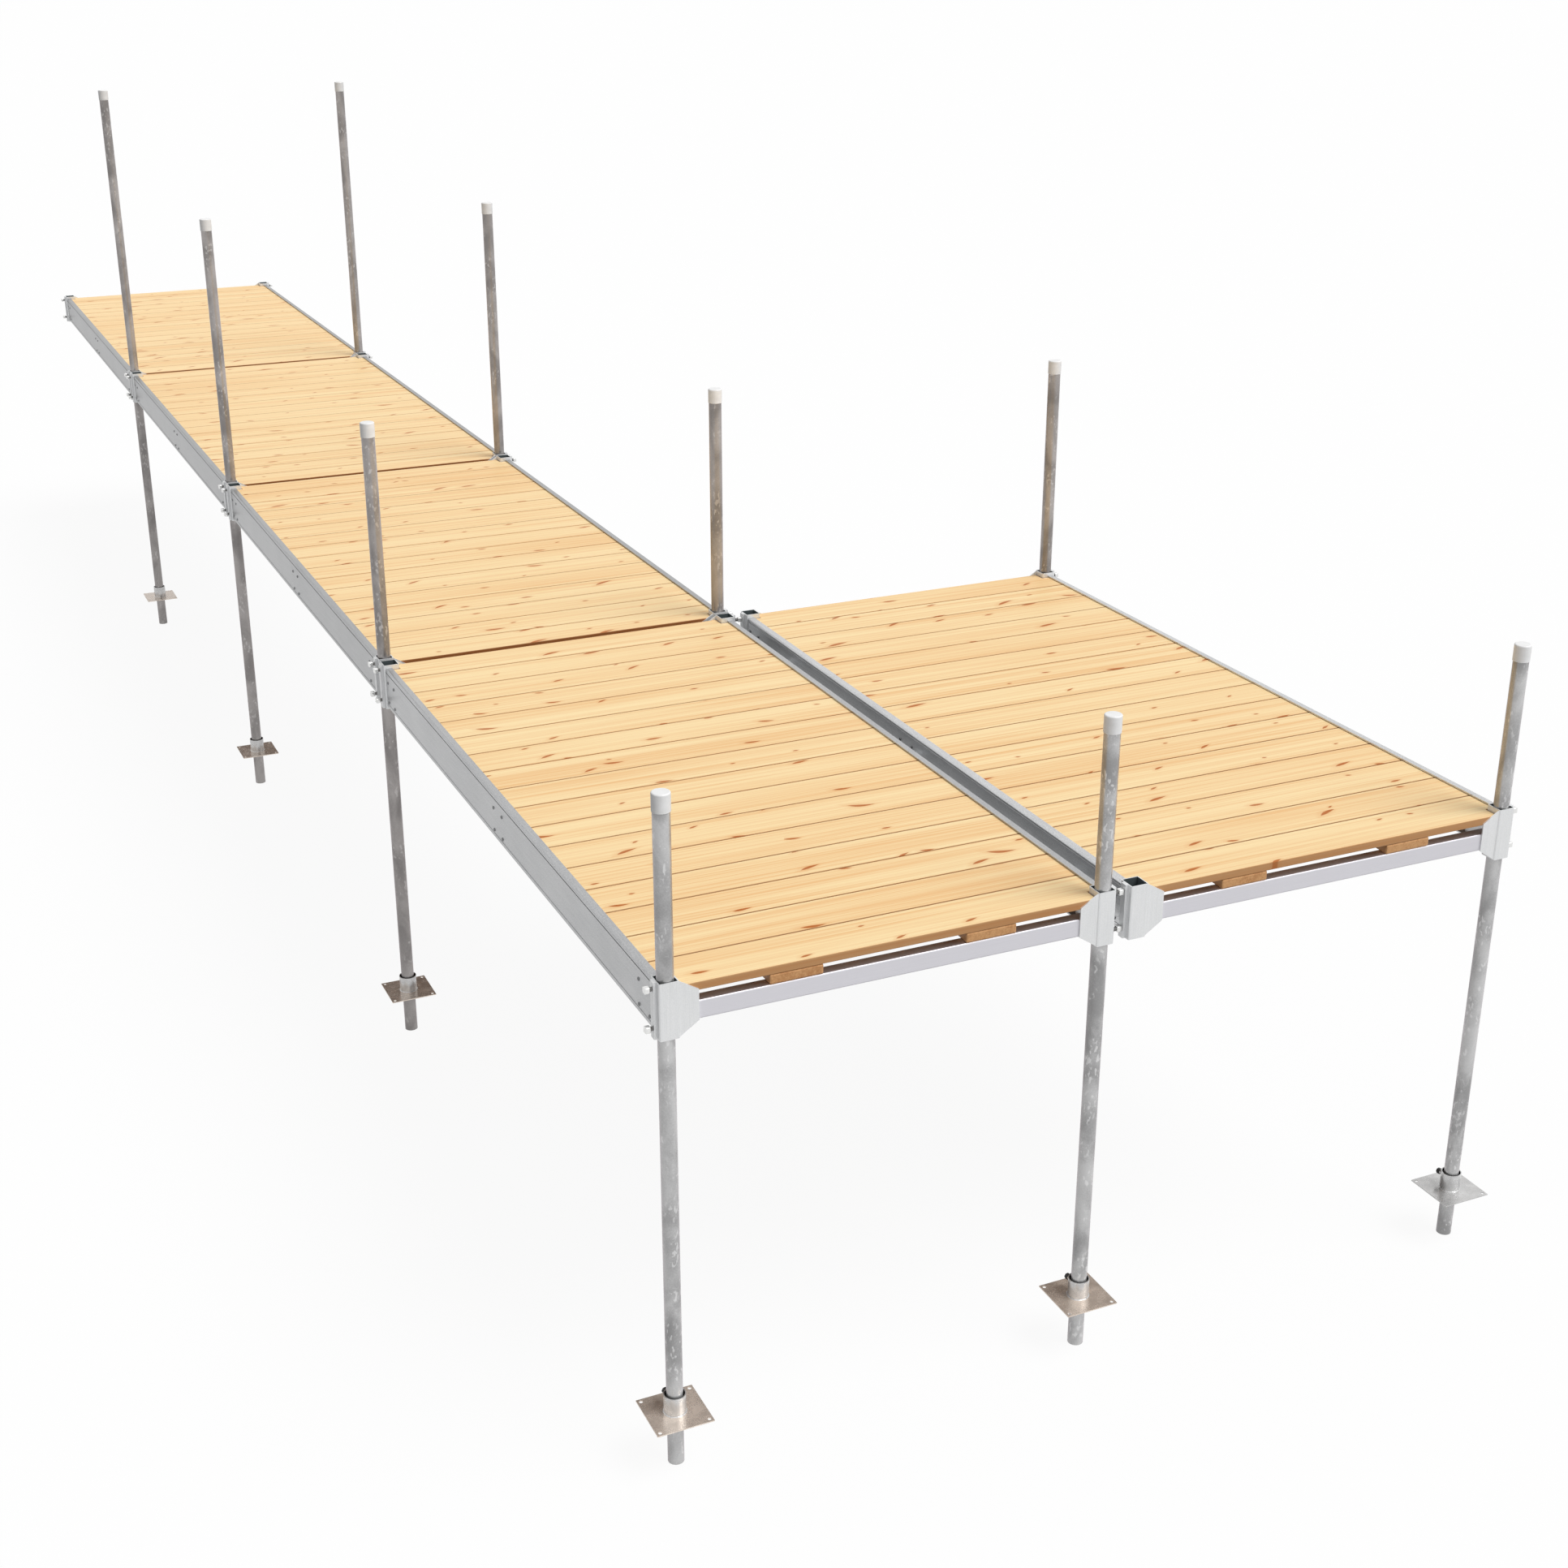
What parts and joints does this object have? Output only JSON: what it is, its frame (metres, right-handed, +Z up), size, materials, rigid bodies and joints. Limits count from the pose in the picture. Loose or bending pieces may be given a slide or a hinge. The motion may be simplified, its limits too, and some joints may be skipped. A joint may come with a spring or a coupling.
{
  "type": "stationary sectional dock",
  "caption": "Wood-decked aluminium dock on galvanised pipe legs: a straight walkway of equal sections with one more beside its outer end as a platform, each leg sliding in a corner bracket.",
  "frame": {"origin": "bottom centre of the bounding box, on the level that the pipe tips stand on", "axes": "+X across the walkway towards the platform, +Y along the walkway to the shore, +Z up"},
  "size_m": [2.592, 9.9216, 2.7445],
  "materials": {
    "rail_aluminium": "mill finish, fine brushed",
    "bracket_aluminium": "mill finish, matt",
    "beam_aluminium": "smooth, pale",
    "deck_wood": "planed softwood, clear",
    "galvanised_steel": "hot-dip galvanised, spangled",
    "plate_steel": "galvanised, half bright",
    "cap_plastic": "white vinyl"
  },
  "bodies": {
    "dock_frame": {"walkway_1_rails": "rail_aluminium", "walkway_1_corner_brackets": "bracket_aluminium", "walkway_1_deck": "deck_wood", "walkway_2_rails": "rail_aluminium", "walkway_2_corner_brackets": "bracket_aluminium", "walkway_2_deck": "deck_wood", "walkway_3_rails": "rail_aluminium", "walkway_3_corner_brackets": "bracket_aluminium", "walkway_3_deck": "deck_wood", "walkway_4_rails": "rail_aluminium", "walkway_4_corner_brackets": "bracket_aluminium", "walkway_4_deck": "deck_wood", "platform_rails": "rail_aluminium", "platform_corner_brackets": "bracket_aluminium", "platform_deck": "deck_wood", "deck_battens": "deck_wood", "cross_beams": "beam_aluminium", "section_couplers": "bracket_aluminium", "platform_couplers": "bracket_aluminium"},
    "left_leg_1_body": {"left_leg_1": "galvanised_steel", "left_leg_1_cap": "cap_plastic", "left_leg_1_foot_plate": "plate_steel"},
    "right_leg_1_body": {"right_leg_1": "galvanised_steel", "right_leg_1_cap": "cap_plastic", "right_leg_1_foot_plate": "plate_steel"},
    "left_leg_2_body": {"left_leg_2": "galvanised_steel", "left_leg_2_cap": "cap_plastic", "left_leg_2_foot_plate": "plate_steel"},
    "right_leg_2_body": {"right_leg_2": "galvanised_steel", "right_leg_2_cap": "cap_plastic", "right_leg_2_foot_plate": "plate_steel"},
    "left_leg_3_body": {"left_leg_3": "galvanised_steel", "left_leg_3_cap": "cap_plastic", "left_leg_3_foot_plate": "plate_steel"},
    "right_leg_3_body": {"right_leg_3": "galvanised_steel", "right_leg_3_cap": "cap_plastic", "right_leg_3_foot_plate": "plate_steel"},
    "left_leg_4_body": {"left_leg_4": "galvanised_steel", "left_leg_4_cap": "cap_plastic", "left_leg_4_foot_plate": "plate_steel"},
    "right_leg_4_body": {"right_leg_4": "galvanised_steel", "right_leg_4_cap": "cap_plastic", "right_leg_4_foot_plate": "plate_steel"},
    "platform_leg_outer_body": {"platform_leg_outer": "galvanised_steel", "platform_leg_outer_cap": "cap_plastic", "platform_leg_outer_foot_plate": "plate_steel"},
    "platform_leg_inner_body": {"platform_leg_inner": "galvanised_steel", "platform_leg_inner_cap": "cap_plastic", "platform_leg_inner_foot_plate": "plate_steel"}
  },
  "joints": [
    {"name": "left_leg_1_slide", "type": "slide", "parent": "dock_frame", "child": "left_leg_1_body", "axis": [0, 0, 1], "range_m": [-1.3295, 1.0062]},
    {"name": "right_leg_1_slide", "type": "slide", "parent": "dock_frame", "child": "right_leg_1_body", "axis": [0, 0, 1], "range_m": [-1.3295, 1.0062]},
    {"name": "left_leg_2_slide", "type": "slide", "parent": "dock_frame", "child": "left_leg_2_body", "axis": [0, 0, 1], "range_m": [-1.024, 1.0062]},
    {"name": "right_leg_2_slide", "type": "slide", "parent": "dock_frame", "child": "right_leg_2_body", "axis": [0, 0, 1], "range_m": [-1.024, 1.0062]},
    {"name": "left_leg_3_slide", "type": "slide", "parent": "dock_frame", "child": "left_leg_3_body", "axis": [0, 0, 1], "range_m": [-0.7185, 1.0062]},
    {"name": "right_leg_3_slide", "type": "slide", "parent": "dock_frame", "child": "right_leg_3_body", "axis": [0, 0, 1], "range_m": [-0.7185, 1.0062]},
    {"name": "left_leg_4_slide", "type": "slide", "parent": "dock_frame", "child": "left_leg_4_body", "axis": [0, 0, 1], "range_m": [-0.413, 1.0062]},
    {"name": "right_leg_4_slide", "type": "slide", "parent": "dock_frame", "child": "right_leg_4_body", "axis": [0, 0, 1], "range_m": [-0.413, 1.0062]},
    {"name": "platform_leg_outer_slide", "type": "slide", "parent": "dock_frame", "child": "platform_leg_outer_body", "axis": [0, 0, 1], "range_m": [-0.413, 1.0062]},
    {"name": "platform_leg_inner_slide", "type": "slide", "parent": "dock_frame", "child": "platform_leg_inner_body", "axis": [0, 0, 1], "range_m": [-0.7185, 1.0062]}
  ]
}
